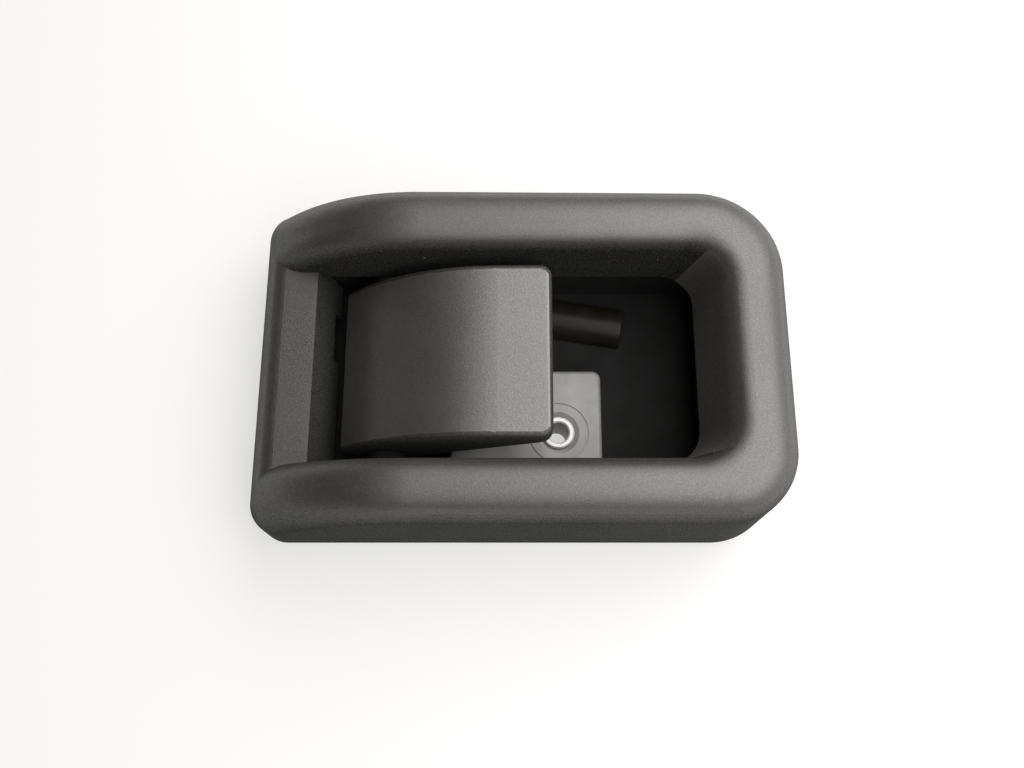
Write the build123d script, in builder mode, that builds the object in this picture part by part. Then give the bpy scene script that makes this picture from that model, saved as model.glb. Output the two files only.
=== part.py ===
from build123d import *
import math
import os

os.makedirs("parts", exist_ok=True)

# Bezel, all lengths in millimetres and all angles in degrees
bezel_length = 137.5
bezel_width = 89.0
nose_inset = 1.0
crest_z = 42.5
skirt_z = 6.0
skirt_draft = 3.0
nose_corner_far = 22.0
nose_corner_near = 18.0
heel_corner = 8.0
rim_round = 9.0
lip_round = 5.8
bezel_wall = 2.4
drop_run = 43.75
drop_fall = 23.08

# Opening of the bezel, measured at the foot of its rounded lip and centred on mid_y
mid_y = -1.2
side_width = 18.0
nose_width = 18.75
opening_corner = 9.0
side_draft = 4.0
nose_draft = 15.0
wall_depth = 19.5

# Low band at the heel end of the bezel
band_length = 15.95
band_drop = 17.1
band_round = 5.0
band_lap = 4.5
plate_lap = 1.3
heel_draft = 12.0
heel_wall_z = 9.0

# Carrier floor and the pocket wall that stands on it
tub_lap = 4.0
tub_low_drop = 3.4
tub_low_length = 5.8
tub_wall = 2.2
floor_top = 2.5
tub_corner = 8.0
lap_gap = 0.3

# Clip hooks of the bezel and their windows in the pocket wall
hook_places = (-12.0, 26.0)
hook_width = 8.0
hook_rise = 0.9
hook_height = 1.6
hook_reach = 1.4
hook_gap = 0.4

# Screw pad and sleeve
pad_z = 13.5
pad_under = 13.0
pad_past = 11.6
pad_reach = 2.1
pad_wall = 2.2
pad_round = 1.2
bush_past = 2.3
bush_offset = 15.1
bush_hole = 5.5
bush_outer = 8.6
bush_proud = 0.25
bush_fit = 0.02
bush_edge = 0.4
boss_radius = 7.0
collar_radius = 5.6
collar_depth = 0.7
ring_radius = 7.9
ring_width = 0.35
ring_depth = 0.3

# Half-round guide ridge on the floor
ridge_radius = 5.8
ridge_hollow = 3.6
ridge_clear = 20.2
ridge_offset = 11.2276
ridge_turn = -9.5
ridge_length = 28.0
ridge_edge = 0.9

# Paddle
paddle_length = 54.3
paddle_flat = 13.5
paddle_fall = 19.17
paddle_drop = 4.5
tail_clear = 7.0
paddle_end_gap = 4.2
paddle_tail_gap = 4.5
paddle_shift = 0.6
paddle_wall = 2.4
paddle_skirt = 5.5
paddle_corner = 3.0
paddle_round = 1.4
pull_range = 38.0

# Pivot
pivot_inset = 11.8
pivot_depth = 9.3
pin_radius = 2.0
pin_edge = 0.4
pin_fit = 0.02
pin_running = 0.05
barrel_radius = 4.8
barrel_inner_y = 8.0
web_tip = 2.5
ear_radius = 5.0
ear_gap = 0.35
ear_width = 4.0

# Cable arm and cable socket
arm_tip = 2.6
arm_place = 12.0
arm_width = 5.0
eye_radius = 1.6
socket_radius = 3.1
socket_outer = 4.6
socket_length = 6.0
socket_rise = 1.75
wire_radius = 1.4
notch_gap = 1.9

# Return spring
wire = 1.2
coil_radius = 3.2
coil_half = 3.2
coil_turns = 4
leg_angle = 200.0
leg_exit = 252.0
leg_length = 8.2
leg_lift = 0.8
leg_gap = 0.12
rib_stop_height = 4.0
rib_stop_width = 2.0
rib_stop_half = 3.0

# Rubber rest stop
buffer_inset = 18.5
buffer_offset = 11.8
buffer_radius = 4.0
buffer_height = 6.0
buffer_gap = 0.1
buffer_stem = 2.0
buffer_bulb = 2.8
buffer_bulb_height = 2.0
buffer_fit = 0.02
buffer_edge = 0.8
foot_half = 2.5

# Reach of the cutting shapes past what they cut, and the tolerances for picking edges
overshoot = 10.0
turn_past = 5.0
near = 0.02
tall = 10.0

# Values that follow from the sizes above
reach = bezel_length
below_z = -overshoot
above_z = crest_z + overshoot
half_length = bezel_length / 2
half_width = bezel_width / 2
opening_half = half_width - side_width
opening_right = half_length - nose_width
lip_level = crest_z - lip_round
lip_z = crest_z - wall_depth
band_z = crest_z - band_drop
band_right = band_length - half_length
band_half = opening_half + band_lap
heel_plate_half = opening_half + plate_lap
heel_skin_z = band_z - bezel_wall
tub_top = lip_z + tub_lap
tub_low_top = band_z - tub_low_drop
tub_low_x = band_right + tub_low_length
hook_foot_z = lip_z + hook_rise
hook_top_z = hook_foot_z + hook_height
tan_side = math.tan(math.radians(side_draft))
tan_nose = math.tan(math.radians(nose_draft))
tan_heel = math.tan(math.radians(heel_draft))
side_wall = bezel_wall / math.cos(math.radians(side_draft))
nose_wall = bezel_wall / math.cos(math.radians(nose_draft))
heel_wall = bezel_wall / math.cos(math.radians(heel_draft))
drop_x = drop_run - half_length
drop_radius = (drop_run ** 2 + drop_fall ** 2) / (2 * drop_fall)
drop_sweep = math.degrees(math.asin(drop_run / drop_radius))
paddle_tail_x = band_right + tail_clear
paddle_end_x = paddle_tail_x + paddle_length
paddle_arc_x = paddle_end_x - paddle_flat
paddle_run = paddle_length - paddle_flat
paddle_y = mid_y + paddle_shift
paddle_top_z = crest_z - paddle_drop
paddle_end_half = opening_half - paddle_end_gap
paddle_tail_half = opening_half - paddle_tail_gap
paddle_arc_radius = (paddle_run ** 2 + paddle_fall ** 2) / (2 * paddle_fall)
paddle_arc_z = paddle_top_z - paddle_arc_radius
tail_turn = math.degrees(math.asin(paddle_run / paddle_arc_radius))
paddle_slope = (paddle_end_half - paddle_tail_half) / paddle_length
pad_left = paddle_arc_x - pad_under
pad_far = mid_y + pad_reach
bush_x = paddle_end_x + bush_past
bush_y = mid_y - bush_offset
pad_right = bush_x + pad_past
ridge_end_x = opening_right - ridge_clear
buffer_x = paddle_end_x - buffer_inset
buffer_y = mid_y - buffer_offset
pivot_x = paddle_tail_x + pivot_inset
pivot_reach = paddle_arc_radius - pivot_depth
pivot_z = paddle_arc_z + math.sqrt(pivot_reach ** 2 - (pivot_x - paddle_arc_x) ** 2)
pivot_half = paddle_end_half - paddle_slope * (paddle_end_x - pivot_x)
web_reach = pivot_depth - paddle_wall / 2 - web_tip
web_x = pivot_x + web_reach * (pivot_x - paddle_arc_x) / pivot_reach
web_z = pivot_z + web_reach * (pivot_z - paddle_arc_z) / pivot_reach
cable_turn = math.radians(270 - pull_range / 2)
eye_z = socket_outer + socket_rise
eye_x = pivot_x + (eye_z - pivot_z) / math.tan(cable_turn)
arm_y = mid_y + arm_place
notch_half = socket_outer + notch_gap
notch_top = eye_z + socket_outer + notch_gap
leg_foot_z = floor_top + leg_lift


def across(y):
    return Plane(origin=(0, y, 0), x_dir=(1, 0, 0), z_dir=(0, -1, 0))


def opening_y(z):
    return opening_half + (z - lip_level) * tan_side


def opening_x(z):
    return opening_right + (z - lip_level) * tan_nose


def heel_x(z):
    return band_right + (band_z - z) * tan_heel


def crest_at(x):
    if x >= drop_x:
        return crest_z
    return crest_z - drop_radius + math.sqrt(drop_radius ** 2 - (x - drop_x) ** 2)


tub_half = opening_y(tub_top) + side_wall + lap_gap
ridge_end_y = mid_y + tub_half - ridge_offset
tub_right = opening_x(tub_top) + nose_wall + lap_gap
tub_left = heel_x(band_z) - heel_wall - lap_gap

# Outside of the bezel before the opening is cut
with BuildPart() as outer:
    with BuildSketch(Plane.XY.offset(skirt_z)):
        Polygon(
            (half_length, -half_width),
            (half_length, half_width - nose_inset),
            (-half_length, half_width),
            (-half_length, -half_width),
            align=None,
        )
    extrude(amount=crest_z - skirt_z, taper=skirt_draft)
    uprights = outer.edges().filter_by(lambda e: abs((e @ 0).Z - (e @ 1).Z) > tall).sort_by(Axis.X)
    fillet(uprights[-2:].sort_by(Axis.Y)[-1], nose_corner_far)
    uprights = outer.edges().filter_by(lambda e: abs((e @ 0).Z - (e @ 1).Z) > tall and (e @ 0).X > 0)
    fillet(uprights.sort_by(Axis.Y)[0], nose_corner_near)
    uprights = outer.edges().filter_by(lambda e: abs((e @ 0).Z - (e @ 1).Z) > tall).sort_by(Axis.X)
    fillet(uprights[:2], heel_corner)
    with BuildSketch(Plane.XZ):
        with BuildLine():
            drop = CenterArc((drop_x, crest_z - drop_radius), drop_radius, 90, drop_sweep)
            past = (drop @ 1) + (drop % 1) * overshoot
            Polyline(drop @ 1, past, (past.X, below_z), (reach, below_z), (reach, crest_z), drop @ 0)
        make_face()
    extrude(amount=reach, both=True, mode=Mode.INTERSECT)
    rim = [
        e
        for e in outer.edges()
        if all(abs((e @ t).Z - crest_at((e @ t).X)) < near for t in (0, 0.5, 1))
        and not all(abs((e @ t).X - drop_x) < near for t in (0, 1))
    ]
    fillet(rim, rim_round)

# Space under the skin of the bezel
with BuildPart() as inner:
    with BuildSketch(Plane.XY.offset(skirt_z)):
        Polygon(
            (half_length - bezel_wall, -half_width + bezel_wall),
            (half_length - bezel_wall, half_width - nose_inset - bezel_wall),
            (-half_length + bezel_wall, half_width - bezel_wall),
            (-half_length + bezel_wall, -half_width + bezel_wall),
            align=None,
        )
    extrude(amount=crest_z - bezel_wall - skirt_z, taper=skirt_draft)
    uprights = inner.edges().filter_by(lambda e: abs((e @ 0).Z - (e @ 1).Z) > tall).sort_by(Axis.X)
    fillet(uprights[-2:].sort_by(Axis.Y)[-1], nose_corner_far - bezel_wall)
    uprights = inner.edges().filter_by(lambda e: abs((e @ 0).Z - (e @ 1).Z) > tall and (e @ 0).X > 0)
    fillet(uprights.sort_by(Axis.Y)[0], nose_corner_near - bezel_wall)
    uprights = inner.edges().filter_by(lambda e: abs((e @ 0).Z - (e @ 1).Z) > tall).sort_by(Axis.X)
    fillet(uprights[:2], heel_corner - bezel_wall)
    with BuildSketch(Plane.XZ):
        with BuildLine():
            low = CenterArc((drop_x, crest_z - drop_radius), drop_radius - bezel_wall, 90, drop_sweep)
            past = (low @ 1) + (low % 1) * overshoot
            low_top = (reach, crest_z - bezel_wall)
            Polyline(low @ 1, past, (past.X, below_z), (reach, below_z), low_top, low @ 0)
        make_face()
    extrude(amount=reach, both=True, mode=Mode.INTERSECT)
    low_rim = [
        e
        for e in inner.edges()
        if all((e @ t).Z > skirt_z + near for t in (0, 0.5, 1))
        and not all(abs((e @ t).X - drop_x) < near for t in (0, 1))
    ]
    fillet(low_rim, rim_round - bezel_wall)

# Opening through the bezel, with the block of the low band left standing at the heel
with BuildPart() as opening:
    with BuildSketch(Plane.XZ):
        Polygon(
            (-reach, below_z),
            (opening_x(below_z), below_z),
            (opening_x(above_z), above_z),
            (-reach, above_z),
            align=None,
        )
    extrude(amount=reach, both=True)
    with BuildSketch(Plane.YZ):
        Polygon(
            (mid_y - opening_y(below_z), below_z),
            (mid_y + opening_y(below_z), below_z),
            (mid_y + opening_y(above_z), above_z),
            (mid_y - opening_y(above_z), above_z),
            align=None,
        )
    extrude(amount=2 * reach, both=True, mode=Mode.INTERSECT)
    corners = opening.edges().filter_by(lambda e: abs((e @ 0).Z - (e @ 1).Z) > tall).sort_by(Axis.X)
    fillet(corners[-2:], opening_corner)
    with BuildSketch(Plane.XZ) as heel_block:
        Polygon(
            (-2 * reach, 2 * below_z),
            (heel_x(2 * below_z), 2 * below_z),
            (band_right, band_z),
            (-2 * reach, band_z),
            align=None,
        )
        fillet(heel_block.vertices().sort_by_distance((band_right, 0, band_z))[0], band_round)
    extrude(amount=reach, both=True, mode=Mode.SUBTRACT)

# The same opening grown by the wall, down to the foot of the inner walls
with BuildPart() as sleeve:
    with BuildSketch(Plane.XZ):
        Polygon(
            (-reach, lip_z),
            (opening_x(lip_z) + nose_wall, lip_z),
            (opening_x(above_z) + nose_wall, above_z),
            (-reach, above_z),
            align=None,
        )
    extrude(amount=reach, both=True)
    with BuildSketch(Plane.YZ):
        Polygon(
            (mid_y - opening_y(lip_z) - side_wall, lip_z),
            (mid_y + opening_y(lip_z) + side_wall, lip_z),
            (mid_y + opening_y(above_z) + side_wall, above_z),
            (mid_y - opening_y(above_z) - side_wall, above_z),
            align=None,
        )
    extrude(amount=2 * reach, both=True, mode=Mode.INTERSECT)
    corners = sleeve.edges().filter_by(lambda e: abs((e @ 0).Z - (e @ 1).Z) > tall).sort_by(Axis.X)
    fillet(corners[-2:], opening_corner + bezel_wall)

# Skin of the low band at the heel and its wall down into the pocket
with BuildPart() as heel_skin:
    with BuildSketch(across(mid_y)) as skin_section:
        Polygon(
            (-reach, heel_skin_z),
            (heel_x(heel_skin_z) - heel_wall, heel_skin_z),
            (heel_x(heel_wall_z) - heel_wall, heel_wall_z),
            (heel_x(heel_wall_z), heel_wall_z),
            (heel_x(above_z), above_z),
            (-reach, above_z),
            align=None,
        )
        bend = (heel_x(heel_skin_z) - heel_wall, mid_y, heel_skin_z)
        fillet(skin_section.vertices().sort_by_distance(bend)[0], band_round - bezel_wall)
    extrude(amount=heel_plate_half, both=True)
    with BuildSketch(across(mid_y)):
        Polygon(
            (-reach, heel_skin_z),
            (heel_x(heel_skin_z), heel_skin_z),
            (heel_x(above_z), above_z),
            (-reach, above_z),
            align=None,
        )
    extrude(amount=band_half, both=True)

# Space behind the rim, the band and the skirt
with BuildPart() as hollow:
    add(inner.part)
    add(sleeve.part, mode=Mode.SUBTRACT)
    add(heel_skin.part, mode=Mode.SUBTRACT)

with BuildPart() as bezel:
    add(outer.part)
    add(opening.part, mode=Mode.SUBTRACT)
    lip = [
        e
        for e in bezel.edges()
        if all(abs((e @ t).Z - crest_at((e @ t).X)) < near for t in (0, 0.5, 1))
        and all(abs((e @ t).Y - mid_y) < opening_y(crest_z) + near for t in (0, 0.5, 1))
        and all((e @ t).X < opening_x(crest_z) + near for t in (0, 0.5, 1))
    ]
    fillet(lip, lip_round)
    add(hollow.part, mode=Mode.SUBTRACT)
    for place in hook_places:
        for side in (-1, 1):
            with BuildSketch(Plane(origin=(place - hook_width / 2, 0, 0), x_dir=(0, 1, 0), z_dir=(1, 0, 0))):
                Polygon(
                    (mid_y + side * (tub_half - lap_gap - hook_reach), hook_foot_z),
                    (mid_y + side * (tub_half + hook_reach), hook_top_z),
                    (mid_y + side * (tub_half - lap_gap - hook_reach), hook_top_z),
                    align=None,
                )
            extrude(amount=hook_width)
    with BuildSketch(Plane.YZ):
        with Locations((arm_y, 0)):
            Rectangle(2 * notch_half, 2 * notch_top)
    extrude(amount=-reach, mode=Mode.SUBTRACT)

bezel.part.label = "bezel"
export_step(bezel.part, "parts/bezel.step")

# Half-round ridge, built along its own axis
ridge_plane = Plane(
    origin=(ridge_end_x, ridge_end_y, floor_top),
    x_dir=(-math.sin(math.radians(ridge_turn)), math.cos(math.radians(ridge_turn)), 0),
    z_dir=(math.cos(math.radians(ridge_turn)), math.sin(math.radians(ridge_turn)), 0),
)
with BuildPart() as guide_ridge:
    with BuildSketch(ridge_plane):
        Circle(ridge_radius)
        with Locations((0, -ridge_radius)):
            Rectangle(2 * ridge_radius, 2 * ridge_radius, mode=Mode.SUBTRACT)
    extrude(amount=-ridge_length)
    nose = guide_ridge.edges().filter_by(GeomType.CIRCLE).sort_by(Axis.X)[-1]
    fillet(nose, ridge_edge)
    with BuildSketch(ridge_plane.offset(-tub_wall)):
        Circle(ridge_hollow)
    extrude(amount=tub_wall - ridge_length, mode=Mode.SUBTRACT)

guide_ridge.part.label = "guide_ridge"
export_step(guide_ridge.part, "parts/guide_ridge.step")

tub_mid = (tub_left + tub_right) / 2
tub_span = tub_right - tub_left
socket_face = tub_left - tub_wall

leg_start_x = pivot_x + coil_radius * math.cos(math.radians(leg_angle))
leg_start_z = pivot_z + coil_radius * math.sin(math.radians(leg_angle))
leg_tilt = -math.cos(math.radians(leg_angle)) / math.sin(math.radians(leg_angle))
leg_foot_x = leg_start_x - (leg_start_z - leg_foot_z) / leg_tilt
rib_stop_x = leg_foot_x + wire / 2 / abs(math.cos(math.radians(leg_angle))) + leg_gap

# Ring of walls around the pocket
with BuildPart() as pocket_wall:
    with BuildSketch(Plane.XY.offset(floor_top)) as wall_plan:
        with Locations((tub_mid, mid_y)):
            Rectangle(tub_span + 2 * tub_wall, 2 * (tub_half + tub_wall))
        fillet(wall_plan.vertices().sort_by(Axis.X)[-2:], tub_corner + tub_wall)
        fillet(wall_plan.vertices().sort_by(Axis.X)[:2], tub_wall)
    extrude(amount=tub_top - floor_top)
    with BuildSketch(Plane.XY.offset(floor_top)) as wall_inside:
        with Locations((tub_mid, mid_y)):
            Rectangle(tub_span, 2 * tub_half)
        fillet(wall_inside.vertices().sort_by(Axis.X)[-2:], tub_corner)
    extrude(amount=tub_top, mode=Mode.SUBTRACT)
    with BuildSketch(Plane.XY.offset(tub_low_top)):
        with Locations((tub_low_x - reach / 2, 0)):
            Rectangle(reach, 2 * reach)
    extrude(amount=tub_top, mode=Mode.SUBTRACT)
    for place in hook_places:
        with BuildSketch(Plane.XZ):
            with Locations((place, (hook_foot_z + hook_top_z) / 2)):
                Rectangle(hook_width + 2 * hook_gap, hook_top_z - hook_foot_z + 2 * hook_gap)
        extrude(amount=reach, both=True, mode=Mode.SUBTRACT)
    # Socket for the cable's end, open below so that the cable drops in
    with BuildSketch(Plane.YZ.offset(socket_face)):
        with Locations((arm_y, eye_z)):
            Circle(socket_outer)
    extrude(amount=-socket_length)
    with BuildSketch(Plane.YZ.offset(socket_face)):
        with Locations((arm_y, eye_z)):
            Circle(socket_radius)
    extrude(amount=-socket_length, mode=Mode.SUBTRACT)
    with BuildSketch(Plane.YZ.offset(tub_left)):
        with Locations((arm_y, eye_z)):
            Circle(wire_radius)
        with Locations((arm_y, eye_z / 2)):
            Rectangle(2 * wire_radius, eye_z)
    extrude(amount=-socket_length - tub_wall, mode=Mode.SUBTRACT)

pocket_wall.part.label = "pocket_wall"
export_step(pocket_wall.part, "parts/pocket_wall.step")

# Carrier: the floor of the pocket, open below the screw pad
pad_near = mid_y - tub_half + lap_gap
ear_face = pivot_half + ear_gap
with BuildPart() as carrier:
    with BuildSketch() as floor_plan:
        with Locations((tub_mid, mid_y)):
            Rectangle(tub_span + 2 * tub_wall, 2 * (tub_half + tub_wall))
        fillet(floor_plan.vertices().sort_by(Axis.X)[-2:], tub_corner + tub_wall)
        fillet(floor_plan.vertices().sort_by(Axis.X)[:2], tub_wall)
        Polygon(
            (pad_left + pad_wall, mid_y - tub_half),
            (pad_right - pad_wall, mid_y - tub_half),
            (pad_right - pad_wall, pad_far - pad_wall),
            (pad_left + pad_wall, pad_far - pad_wall),
            align=None,
            mode=Mode.SUBTRACT,
        )
        # Slot in the floor's edge below the cable's way through the wall
        with Locations((tub_left - tub_wall / 2, arm_y)):
            Rectangle(tub_wall, 2 * wire_radius, mode=Mode.SUBTRACT)
    extrude(amount=floor_top)

carrier.part.label = "carrier"
export_step(carrier.part, "parts/carrier.step")

# Screw pad on the floor, with the boss that takes the sleeve
with BuildPart() as screw_pad:
    with BuildSketch(Plane.XY.offset(floor_top)) as pad_plan:
        Polygon(
            (pad_left, pad_near),
            (pad_right, pad_near),
            (pad_right, pad_far),
            (pad_left, pad_far),
            align=None,
        )
        fillet(pad_plan.vertices().sort_by(Axis.Y)[-2:], pad_wall)
    extrude(amount=pad_z - floor_top)
    pad_rim = screw_pad.edges().filter_by(
        lambda e: all(abs((e @ t).Z - pad_z) < near for t in (0, 0.5, 1))
        and (e @ 0.5).Y > pad_near + near
    )
    fillet(pad_rim, pad_round)
    with BuildSketch(Plane.XY.offset(floor_top)):
        Polygon(
            (pad_left + pad_wall, mid_y - tub_half),
            (pad_right - pad_wall, mid_y - tub_half),
            (pad_right - pad_wall, pad_far - pad_wall),
            (pad_left + pad_wall, pad_far - pad_wall),
            align=None,
        )
    extrude(amount=pad_z - pad_wall - floor_top, mode=Mode.SUBTRACT)
    with BuildSketch():
        with Locations((bush_x, bush_y)):
            Circle(boss_radius)
    extrude(amount=pad_z - pad_wall / 2)
    with Locations((bush_x, bush_y, pad_z - collar_depth / 2)):
        Cone(bush_outer / 2, collar_radius, collar_depth, mode=Mode.SUBTRACT)
    with BuildSketch(Plane.XY.offset(pad_z)):
        with Locations((bush_x, bush_y)):
            Circle(ring_radius + ring_width / 2)
            Circle(ring_radius - ring_width / 2, mode=Mode.SUBTRACT)
    extrude(amount=-ring_depth, mode=Mode.SUBTRACT)
    with BuildSketch():
        with Locations((bush_x, bush_y)):
            Circle(bush_outer / 2 + bush_fit)
        with Locations((buffer_x, buffer_y)):
            Circle(buffer_stem + buffer_fit)
    extrude(amount=pad_z, mode=Mode.SUBTRACT)

screw_pad.part.label = "screw_pad"
export_step(screw_pad.part, "parts/screw_pad.step")

# Lugs that hold the pin
with BuildPart() as pivot_lug_near:
    with BuildSketch(across(paddle_y - ear_face)):
        with Locations((pivot_x, pivot_z)):
            Circle(ear_radius)
        with Locations((pivot_x, (pivot_z + floor_top) / 2)):
            Rectangle(2 * ear_radius, pivot_z - floor_top)
        with Locations((pivot_x, pivot_z)):
            Circle(pin_radius + pin_fit, mode=Mode.SUBTRACT)
    extrude(amount=ear_width)

pivot_lug_near.part.label = "pivot_lug_near"
export_step(pivot_lug_near.part, "parts/pivot_lug_near.step")

with BuildPart() as pivot_lug_far:
    with BuildSketch(across(paddle_y + ear_face)):
        with Locations((pivot_x, pivot_z)):
            Circle(ear_radius)
        with Locations((pivot_x, (pivot_z + floor_top) / 2)):
            Rectangle(2 * ear_radius, pivot_z - floor_top)
        with Locations((pivot_x, pivot_z)):
            Circle(pin_radius + pin_fit, mode=Mode.SUBTRACT)
    extrude(amount=-ear_width)

pivot_lug_far.part.label = "pivot_lug_far"
export_step(pivot_lug_far.part, "parts/pivot_lug_far.step")

# Stop for the lower leg of the spring
with BuildPart() as spring_stop:
    with BuildSketch(Plane.XY.offset(floor_top)):
        with Locations((rib_stop_x + rib_stop_width / 2, mid_y - coil_half)):
            Rectangle(rib_stop_width, 2 * rib_stop_half)
    extrude(amount=rib_stop_height)

spring_stop.part.label = "spring_stop"
export_step(spring_stop.part, "parts/spring_stop.step")


def paddle_at(x):
    if x >= paddle_arc_x:
        return paddle_top_z
    return paddle_arc_z + math.sqrt(paddle_arc_radius ** 2 - (x - paddle_arc_x) ** 2)


tail_sin = math.sin(math.radians(tail_turn))
tail_cos = math.cos(math.radians(tail_turn))
tail_in_x = paddle_arc_x - (paddle_arc_radius - paddle_wall) * tail_sin
tail_in_z = paddle_arc_z + (paddle_arc_radius - paddle_wall) * tail_cos
skirt_low = pivot_z - barrel_radius
skirt_end = paddle_top_z - paddle_skirt
inset_slope = paddle_slope * (paddle_length + overshoot)

# Space under the skin of the paddle
with BuildPart() as scoop:
    with BuildSketch(Plane.XZ):
        with BuildLine():
            under = CenterArc(
                (paddle_arc_x, paddle_arc_z), paddle_arc_radius - paddle_wall, 90, tail_turn + turn_past
            )
            Polyline(
                under @ 1,
                ((under @ 1).X, 0),
                (paddle_end_x - paddle_wall, 0),
                (paddle_end_x - paddle_wall, paddle_top_z - paddle_wall),
                under @ 0,
            )
        make_face()
    extrude(amount=reach, both=True)
    with BuildSketch():
        Polygon(
            (paddle_end_x, paddle_y + paddle_end_half - paddle_wall),
            (paddle_end_x, paddle_y - paddle_end_half + paddle_wall),
            (paddle_tail_x - overshoot, paddle_y - paddle_end_half + paddle_wall + inset_slope),
            (paddle_tail_x - overshoot, paddle_y + paddle_end_half - paddle_wall - inset_slope),
            align=None,
        )
    extrude(amount=reach, mode=Mode.INTERSECT)

with BuildPart() as paddle:
    with BuildSketch(Plane.XZ):
        with BuildLine():
            back = CenterArc((paddle_arc_x, paddle_arc_z), paddle_arc_radius, 90, tail_turn)
            Polyline(
                back @ 1,
                (tail_in_x, tail_in_z),
                (pivot_x - barrel_radius, skirt_low),
                (pivot_x + barrel_radius, skirt_low),
                (paddle_end_x - paddle_wall, skirt_end),
                (paddle_end_x, skirt_end),
                (paddle_end_x, paddle_top_z),
                back @ 0,
            )
        make_face()
    extrude(amount=reach, both=True)
    with BuildSketch() as paddle_plan:
        Polygon(
            (paddle_end_x, paddle_y + paddle_end_half),
            (paddle_end_x, paddle_y - paddle_end_half),
            (paddle_tail_x - overshoot, paddle_y - paddle_end_half + inset_slope),
            (paddle_tail_x - overshoot, paddle_y + paddle_end_half - inset_slope),
            align=None,
        )
        fillet(paddle_plan.vertices().sort_by(Axis.X)[-2:], paddle_corner)
    extrude(amount=reach, mode=Mode.INTERSECT)
    crown = [
        e
        for e in paddle.edges()
        if all(abs((e @ t).Z - paddle_at((e @ t).X)) < near for t in (0, 0.5, 1))
        and not all(abs((e @ t).X - paddle_arc_x) < near for t in (0, 1))
        and not all(abs((e @ t).X - paddle_tail_x) < near for t in (0, 1))
    ]
    fillet(crown, paddle_round)
    add(scoop.part, mode=Mode.SUBTRACT)
    for side in (-1, 1):
        # Pivot barrel and the web that joins it to the skin
        with BuildSketch(across(paddle_y + side * barrel_inner_y)):
            with Locations((pivot_x, pivot_z)):
                Circle(barrel_radius)
            with Locations((web_x, web_z)):
                Circle(web_tip)
            make_hull()
        extrude(amount=-side * (pivot_half - paddle_wall / 2 - barrel_inner_y))
    # Foot over the rubber stop
    with BuildSketch(Plane.XY.offset(pad_z + buffer_height + buffer_gap)):
        with Locations((buffer_x, buffer_y)):
            Rectangle(2 * foot_half, 2 * foot_half)
    extrude(amount=paddle_at(buffer_x - foot_half) - paddle_wall / 2 - pad_z - buffer_height)
    # Cable arm
    with BuildSketch(across(arm_y)):
        with Locations((pivot_x, pivot_z)):
            Circle(barrel_radius)
        with Locations((eye_x, eye_z)):
            Circle(arm_tip)
        make_hull()
    extrude(amount=arm_width / 2, both=True)
    with BuildSketch(across(arm_y)):
        with Locations((eye_x, eye_z)):
            Circle(eye_radius)
    extrude(amount=arm_width, both=True, mode=Mode.SUBTRACT)
    with BuildSketch(Plane.XZ):
        with Locations((pivot_x, pivot_z)):
            Circle(pin_radius + pin_running)
    extrude(amount=reach, both=True, mode=Mode.SUBTRACT)

paddle.part.label = "paddle"
export_step(paddle.part, "parts/paddle.step")

with BuildPart() as pivot_pin:
    with BuildSketch(across(paddle_y)):
        with Locations((pivot_x, pivot_z)):
            Circle(pin_radius)
    extrude(amount=ear_face + ear_width, both=True)
    chamfer(pivot_pin.edges().filter_by(GeomType.CIRCLE), pin_edge)

pivot_pin.part.label = "pivot_pin"
export_step(pivot_pin.part, "parts/pivot_pin.step")

coil_rounds = coil_turns + (leg_angle - leg_exit + 360) / 360
coil_pitch = 2 * coil_half / coil_rounds
coil_plane = Plane(
    origin=(pivot_x, mid_y - coil_half, pivot_z),
    x_dir=(math.cos(math.radians(leg_angle)), 0, math.sin(math.radians(leg_angle))),
    z_dir=(0, 1, 0),
)
with BuildLine() as helix:
    Helix(coil_pitch, 2 * coil_half, coil_radius)

coil = helix.line.moved(coil_plane.location)
foot_way = -(coil % 0)
tail_way = coil % 1
foot_length = (leg_foot_z - leg_start_z) / foot_way.Z
with BuildPart() as return_spring:
    with BuildLine() as winding:
        Line((coil @ 0) + foot_way * foot_length, coil @ 0)
        add(coil)
        Line(coil @ 1, (coil @ 1) + tail_way * leg_length)
    with BuildSketch(Plane(origin=winding.line @ 0, z_dir=winding.line % 0)):
        Circle(wire / 2)
    sweep(path=winding.line)

return_spring.part.label = "return_spring"
export_step(return_spring.part, "parts/return_spring.step")

with BuildPart() as screw_bush:
    with BuildSketch():
        with Locations((bush_x, bush_y)):
            Circle(bush_outer / 2)
            Circle(bush_hole / 2, mode=Mode.SUBTRACT)
    extrude(amount=pad_z + bush_proud)
    chamfer(screw_bush.edges().filter_by(GeomType.CIRCLE).group_by(Axis.Z)[-1], bush_edge)

screw_bush.part.label = "screw_bush"
export_step(screw_bush.part, "parts/screw_bush.step")

with BuildPart() as rest_buffer:
    with BuildSketch(Plane.XY.offset(pad_z)):
        with Locations((buffer_x, buffer_y)):
            Circle(buffer_radius)
    extrude(amount=buffer_height)
    fillet(rest_buffer.edges().filter_by(GeomType.CIRCLE).group_by(Axis.Z)[-1], buffer_edge)
    with BuildSketch(Plane.XY.offset(pad_z)):
        with Locations((buffer_x, buffer_y)):
            Circle(buffer_stem)
    extrude(amount=-pad_wall)
    with BuildSketch(Plane.XY.offset(pad_z - pad_wall)):
        with Locations((buffer_x, buffer_y)):
            Circle(buffer_bulb)
    extrude(amount=-buffer_bulb_height)

rest_buffer.part.label = "rest_buffer"
export_step(rest_buffer.part, "parts/rest_buffer.step")
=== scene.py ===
import bpy
import math
from mathutils import Matrix, Vector

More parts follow.
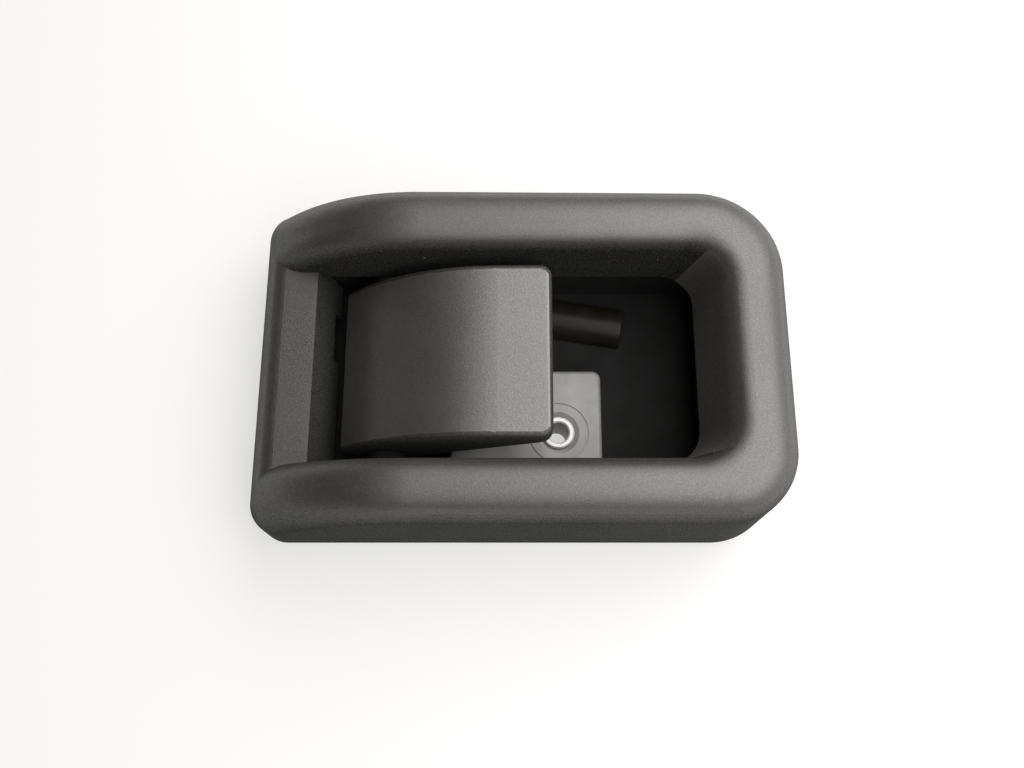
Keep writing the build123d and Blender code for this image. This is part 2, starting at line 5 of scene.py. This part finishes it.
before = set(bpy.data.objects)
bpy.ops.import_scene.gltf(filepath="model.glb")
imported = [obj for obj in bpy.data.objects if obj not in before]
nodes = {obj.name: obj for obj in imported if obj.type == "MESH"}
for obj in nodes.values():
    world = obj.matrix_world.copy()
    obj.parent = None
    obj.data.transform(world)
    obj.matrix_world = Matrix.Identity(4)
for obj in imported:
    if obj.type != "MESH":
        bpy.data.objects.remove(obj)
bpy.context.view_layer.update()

MM = 0.001

# Camera, in millimetres and degrees in the part's own frame
CAMERA_PLACE = (-1.5, -68.56, 247.17)
CAMERA_TILT = 15.7
CAMERA_FOCAL_PX = 900.0
IMAGE_WIDTH_PX = 1024.0
SENSOR_WIDTH = 36.0
CAMERA_CLIP = (10.0, 20000.0)

# Broad soft box overhead, level, open to the right of the part; its radiance is against a white of 1
PANEL_LEFT = -14.0
PANEL_RIGHT = 900.0
PANEL_NEAR = -620.0
PANEL_FAR = 760.0
PANEL_HEIGHT = 460.0
PANEL_COLOUR = (1.0, 0.985, 0.965)
PANEL_RADIANCE = 1.95

# Second sheet over the far half, which lifts the far arm
FAR_PANEL_NEAR = 130.0
FAR_PANEL_RADIANCE = 1.1

# Weak warm light from all round
AMBIENT_COLOUR = (1.0, 0.9, 0.82)
AMBIENT_STRENGTH = 0.09

# Sheen of the grained plastic: it falls in steps as the bezel's faces grow steeper, sooner towards the heel;
# these duller copies of the plastic are painted shade on the steep and heel-facing faces
BEZEL_IOR = 1.87
PADDLE_IOR = 2.08
SHEENS = (1.0, 0.88, 0.76, 0.64, 0.52, 0.41, 0.3, 0.2)
STEEP_BELOW = (0.72, 0.64, 0.56, 0.48, 0.39, 0.3, 0.2)
HEEL_WEIGHT = 0.35
NOSE_WALL_X = 36.0
NOSE_WALL_TURN = -0.5

# Duller faces, told by how far their normal turns: painted shade on the paddle's edges and on the sleeve's
# upright walls
EDGE_SHEEN = 0.35
SIDE_TURN = 0.05
END_TURN = 0.35
UPRIGHT_BELOW = 0.35

# Grain: dark ground with a paler fleck here and there, partly the grain's own tone and partly painted glints
# on the grain; the noise levels between which a fleck grows, and its depth in metres
BLACK = (0.004, 0.004, 0.004)
FLECK_AND_GLINT_GREY = (0.06, 0.059, 0.057)
GRAIN_SCALE = 2700.0
FLECK_AND_GLINT_LEVELS = (0.45, 0.62)
GRAIN_LEVELS = (0.36, 0.64)
GRAIN_DEPTH = 0.0002

# Roughness: its spread over the grain and over worn patches, and the normal's rise on upright and level faces
GRAIN_SPREAD = 0.06
PATCH_SCALE = 60.0
PATCH_SPREAD = 0.03
UPRIGHT_RISE = 0.15
LEVEL_RISE = 0.8

# Dust: cells per metre, size of a speck in metres and the share of it that is solid
DUST_COLOUR = (0.45, 0.44, 0.4)
DUST_SCALE = 75.0
DUST_SIZE = 0.0003
DUST_CORE = 0.6

# Flow marks in smooth plastic and unevenness of metal, per metre
FLOW_SCALE = 120.0
METAL_SCALE = 700.0
TONE_LEVELS = (0.35, 0.65)
MID_LEVELS = (0.3, 0.7)

# Paper under the part, whose glow is for the eye and for reflections only
FLOOR_HALF = 2000.0
FLOOR_COLOUR = (0.5, 0.5, 0.5)
FLOOR_GLOW = 0.58
FLOOR_ROUGHNESS = 0.9


def new_material(name):
    material = bpy.data.materials.new(name)
    material.use_nodes = True
    tree = material.node_tree
    return material, tree, tree.nodes["Principled BSDF"]


def add_node(tree, kind, **settings):
    node = tree.nodes.new(kind)
    for key, value in settings.items():
        setattr(node, key, value)
    return node


def noise(tree, scale, detail=4.0, roughness=0.6):
    place = add_node(tree, "ShaderNodeTexCoord")
    node = add_node(tree, "ShaderNodeTexNoise")
    node.inputs["Scale"].default_value = scale
    node.inputs["Detail"].default_value = detail
    node.inputs["Roughness"].default_value = roughness
    tree.links.new(place.outputs["Object"], node.inputs["Vector"])
    return node


def remap(tree, source, levels, to_low, to_high):
    node = add_node(tree, "ShaderNodeMapRange")
    node.inputs["From Min"].default_value = levels[0]
    node.inputs["From Max"].default_value = levels[1]
    node.inputs["To Min"].default_value = to_low
    node.inputs["To Max"].default_value = to_high
    tree.links.new(source, node.inputs["Value"])
    return node.outputs["Result"]


def blend_colours(tree, factor, first, second):
    node = add_node(tree, "ShaderNodeMix", data_type="RGBA")
    node.inputs["A"].default_value = (*first, 1.0)
    node.inputs["B"].default_value = (*second, 1.0)
    tree.links.new(factor, node.inputs["Factor"])
    return node.outputs["Result"]


def bump(tree, height, strength, distance):
    node = add_node(tree, "ShaderNodeBump")
    node.inputs["Strength"].default_value = strength
    node.inputs["Distance"].default_value = distance
    tree.links.new(height, node.inputs["Height"])
    return node.outputs["Normal"]


def add_values(tree, first, second):
    node = add_node(tree, "ShaderNodeMath", operation="ADD")
    tree.links.new(first, node.inputs[0])
    tree.links.new(second, node.inputs[1])
    return node.outputs["Value"]


def specks(tree):
    """One on rare small spots of dust, nought elsewhere."""
    place = add_node(tree, "ShaderNodeTexCoord")
    cells = add_node(tree, "ShaderNodeTexVoronoi")
    cells.inputs["Scale"].default_value = DUST_SCALE
    tree.links.new(place.outputs["Object"], cells.inputs["Vector"])
    radius = DUST_SIZE * DUST_SCALE
    return remap(tree, cells.outputs["Distance"], (radius * DUST_CORE, radius), 1.0, 0.0)


def steepness(tree, at_upright):
    """Nought on level faces, at_upright on upright ones."""
    place = add_node(tree, "ShaderNodeTexCoord")
    split = add_node(tree, "ShaderNodeSeparateXYZ")
    tree.links.new(place.outputs["Normal"], split.inputs["Vector"])
    return remap(tree, split.outputs["Z"], (UPRIGHT_RISE, LEVEL_RISE), at_upright, 0.0)


def grained_plastic(name, ior, sheen, rough, dull, grain):
    """Moulded black plastic with a fine spark-eroded grain, patches of wear and a few specks of dust; the
    paler fleck colour in the grain is partly painted glints.
    """
    material, tree, shader = new_material(name)
    shader.inputs["IOR"].default_value = ior
    shader.inputs["Specular IOR Level"].default_value = sheen
    fine = noise(tree, GRAIN_SCALE, roughness=0.75).outputs["Fac"]
    broad = noise(tree, PATCH_SCALE, detail=3.0).outputs["Fac"]
    # The paler fleck colour is partly grain tone and partly painted glints on the grain
    flecks_and_glints = remap(tree, fine, FLECK_AND_GLINT_LEVELS, 0.0, 1.0)
    grained = blend_colours(tree, flecks_and_glints, BLACK, FLECK_AND_GLINT_GREY)
    dusted = add_node(tree, "ShaderNodeMix", data_type="RGBA")
    dusted.inputs["B"].default_value = (*DUST_COLOUR, 1.0)
    tree.links.new(grained, dusted.inputs["A"])
    tree.links.new(specks(tree), dusted.inputs["Factor"])
    tree.links.new(dusted.outputs["Result"], shader.inputs["Base Color"])
    patches = remap(tree, broad, MID_LEVELS, -PATCH_SPREAD, PATCH_SPREAD)
    spread = remap(tree, fine, GRAIN_LEVELS, rough + GRAIN_SPREAD, rough - GRAIN_SPREAD)
    worn = add_values(tree, patches, spread)
    tree.links.new(add_values(tree, worn, steepness(tree, dull)), shader.inputs["Roughness"])
    tree.links.new(bump(tree, fine, grain, GRAIN_DEPTH), shader.inputs["Normal"])
    return material


def smooth_plastic(name, dark, light, rough_low, rough_high, specular):
    """Plain moulded plastic with faint flow marks."""
    material, tree, shader = new_material(name)
    shader.inputs["Specular IOR Level"].default_value = specular
    broad = noise(tree, FLOW_SCALE).outputs["Fac"]
    colour = blend_colours(tree, remap(tree, broad, TONE_LEVELS, 0.0, 1.0), dark, light)
    tree.links.new(colour, shader.inputs["Base Color"])
    roughness = remap(tree, broad, MID_LEVELS, rough_low, rough_high)
    tree.links.new(roughness, shader.inputs["Roughness"])
    return material


def metal(name, dark, light, rough_low, rough_high, bare):
    """Plated or drawn metal with fine uneven brightness."""
    material, tree, shader = new_material(name)
    shader.inputs["Metallic"].default_value = bare
    fine = noise(tree, METAL_SCALE).outputs["Fac"]
    colour = blend_colours(tree, remap(tree, fine, TONE_LEVELS, 0.0, 1.0), dark, light)
    tree.links.new(colour, shader.inputs["Base Color"])
    roughness = remap(tree, fine, MID_LEVELS, rough_low, rough_high)
    tree.links.new(roughness, shader.inputs["Roughness"])
    return material


def dress(node, *materials):
    mesh = nodes[node].data
    mesh.materials.clear()
    for material in materials:
        mesh.materials.append(material)


bezel_painted_shade_plastics = [
    grained_plastic(f"bezel_plastic_{step}", BEZEL_IOR, sheen, rough=0.42, dull=0.5, grain=0.4)
    for step, sheen in enumerate(SHEENS)
]
paddle_plastic = grained_plastic("paddle_plastic", PADDLE_IOR, SHEENS[0], rough=0.4, dull=0.5, grain=0.35)
edge_shade_plastic = grained_plastic("edge_shade_plastic", PADDLE_IOR, EDGE_SHEEN, rough=0.5, dull=0.4, grain=0.3)
# Pocket plastic: near-black and almost without sheen, partly the pocket's own black plastic and partly
# painted shade deep in the pocket
pocket_plastic = smooth_plastic("pocket_plastic", (0.022, 0.022, 0.022), (0.03, 0.03, 0.03), 0.75, 0.9, 0.1)
pad_plastic = smooth_plastic("pad_plastic", (0.27, 0.27, 0.272), (0.37, 0.37, 0.372), 0.3, 0.4, 0.9)
# Ridge plastic: a dark warm brown that is partly the ridge's own colour, partly painted shade under the
# paddle and painted warm light bounced up from the floor
ridge_plastic = smooth_plastic(
    "ridge_plastic", (0.016, 0.0145, 0.011), (0.023, 0.021, 0.016), 0.34, 0.42, 0.3
)
sleeve_metal = metal("sleeve_metal", (0.88, 0.88, 0.86), (0.97, 0.97, 0.96), 0.3, 0.42, 0.3)
bore_shade_metal = metal("bore_shade_metal", (0.2, 0.19, 0.15), (0.27, 0.26, 0.21), 0.4, 0.55, 0.5)
pin_metal = metal("pin_metal", (0.45, 0.45, 0.46), (0.6, 0.6, 0.6), 0.22, 0.35, 1.0)
spring_metal = metal("spring_metal", (0.2, 0.2, 0.21), (0.3, 0.3, 0.31), 0.25, 0.4, 1.0)
buffer_rubber = smooth_plastic("buffer_rubber", (0.012, 0.012, 0.012), (0.02, 0.02, 0.02), 0.7, 0.85, 0.3)

dress("bezel", *bezel_painted_shade_plastics)
dress("paddle", paddle_plastic, edge_shade_plastic)
# The pocket's parts take this dark, dull plastic: their own black plus painted shade deep in the pocket
for pocket_node in ("pocket_wall", "carrier", "pivot_lug_near", "pivot_lug_far", "spring_stop"):
    dress(pocket_node, pocket_plastic)
dress("screw_pad", pad_plastic)
dress("guide_ridge", ridge_plastic)
dress("pivot_pin", pin_metal)
dress("return_spring", spring_metal)
dress("screw_bush", sleeve_metal, bore_shade_metal)
dress("rest_buffer", buffer_rubber)

# The bezel's steeper faces get duller copies of the plastic as painted shade, but for the wall at the nose
# end of the pocket, which keeps the full sheen
for face in nodes["bezel"].data.polygons:
    level = face.normal.z + HEEL_WEIGHT * min(face.normal.x, 0.0)
    nose_wall = face.normal.x < NOSE_WALL_TURN and face.center.x > NOSE_WALL_X * MM
    face.material_index = 0 if nose_wall else sum(level < limit for limit in STEEP_BELOW)

# The paddle's rounded edges and skirts are duller than its top, as painted shade along the edges
for face in nodes["paddle"].data.polygons:
    face.material_index = int(abs(face.normal.y) > SIDE_TURN or face.normal.x > END_TURN)

# The sleeve's upright walls are dull and dark olive, as painted shade in the bore; its rim and its bevels are
# bright
for face in nodes["screw_bush"].data.polygons:
    face.material_index = int(abs(face.normal.z) < UPRIGHT_BELOW)


def add_floor():
    half = FLOOR_HALF * MM
    corners = [(-half, -half, 0.0), (half, -half, 0.0), (half, half, 0.0), (-half, half, 0.0)]
    mesh = bpy.data.meshes.new("floor")
    mesh.from_pydata(corners, [], [(0, 1, 2, 3)])
    floor = bpy.data.objects.new("floor", mesh)
    bpy.context.scene.collection.objects.link(floor)
    material, tree, shader = new_material("floor_paper")
    shader.inputs["Base Color"].default_value = (*FLOOR_COLOUR, 1.0)
    shader.inputs["Roughness"].default_value = FLOOR_ROUGHNESS
    shader.inputs["Specular IOR Level"].default_value = 0.0
    shader.inputs["Emission Color"].default_value = (1.0, 1.0, 1.0, 1.0)
    rays = add_node(tree, "ShaderNodeLightPath")
    seen = add_values(tree, rays.outputs["Is Camera Ray"], rays.outputs["Is Glossy Ray"])
    seen = add_values(tree, seen, rays.outputs["Is Transmission Ray"])
    glow = remap(tree, seen, (0.0, 1.0), 0.0, FLOOR_GLOW)
    tree.links.new(glow, shader.inputs["Emission Strength"])
    mesh.materials.append(material)


def add_camera():
    data = bpy.data.cameras.new("camera")
    data.sensor_fit = "HORIZONTAL"
    data.sensor_width = SENSOR_WIDTH
    data.lens = SENSOR_WIDTH * CAMERA_FOCAL_PX / IMAGE_WIDTH_PX
    data.clip_start = CAMERA_CLIP[0] * MM
    data.clip_end = CAMERA_CLIP[1] * MM
    camera = bpy.data.objects.new("camera", data)
    bpy.context.scene.collection.objects.link(camera)
    turn = Matrix.Rotation(math.radians(CAMERA_TILT), 4, "X")
    camera.matrix_world = Matrix.Translation(Vector(CAMERA_PLACE) * MM) @ turn
    bpy.context.scene.camera = camera


def add_panel(name, near, radiance):
    width = (PANEL_RIGHT - PANEL_LEFT) * MM
    depth = (PANEL_FAR - near) * MM
    data = bpy.data.lights.new(name, "AREA")
    data.shape = "RECTANGLE"
    data.size = width
    data.size_y = depth
    data.energy = radiance * math.pi * width * depth
    data.color = PANEL_COLOUR
    lamp = bpy.data.objects.new(name, data)
    bpy.context.scene.collection.objects.link(lamp)
    lamp.location = (PANEL_LEFT * MM + width / 2, near * MM + depth / 2, PANEL_HEIGHT * MM)


def add_world():
    world = bpy.data.worlds.new("studio")
    bpy.context.scene.world = world
    world.use_nodes = True
    background = world.node_tree.nodes["Background"]
    background.inputs["Color"].default_value = (*AMBIENT_COLOUR, 1.0)
    background.inputs["Strength"].default_value = AMBIENT_STRENGTH


add_floor()
add_camera()
add_panel("panel", PANEL_NEAR, PANEL_RADIANCE)
add_panel("far_panel", FAR_PANEL_NEAR, FAR_PANEL_RADIANCE)
add_world()
bpy.context.scene.view_settings.view_transform = "Standard"
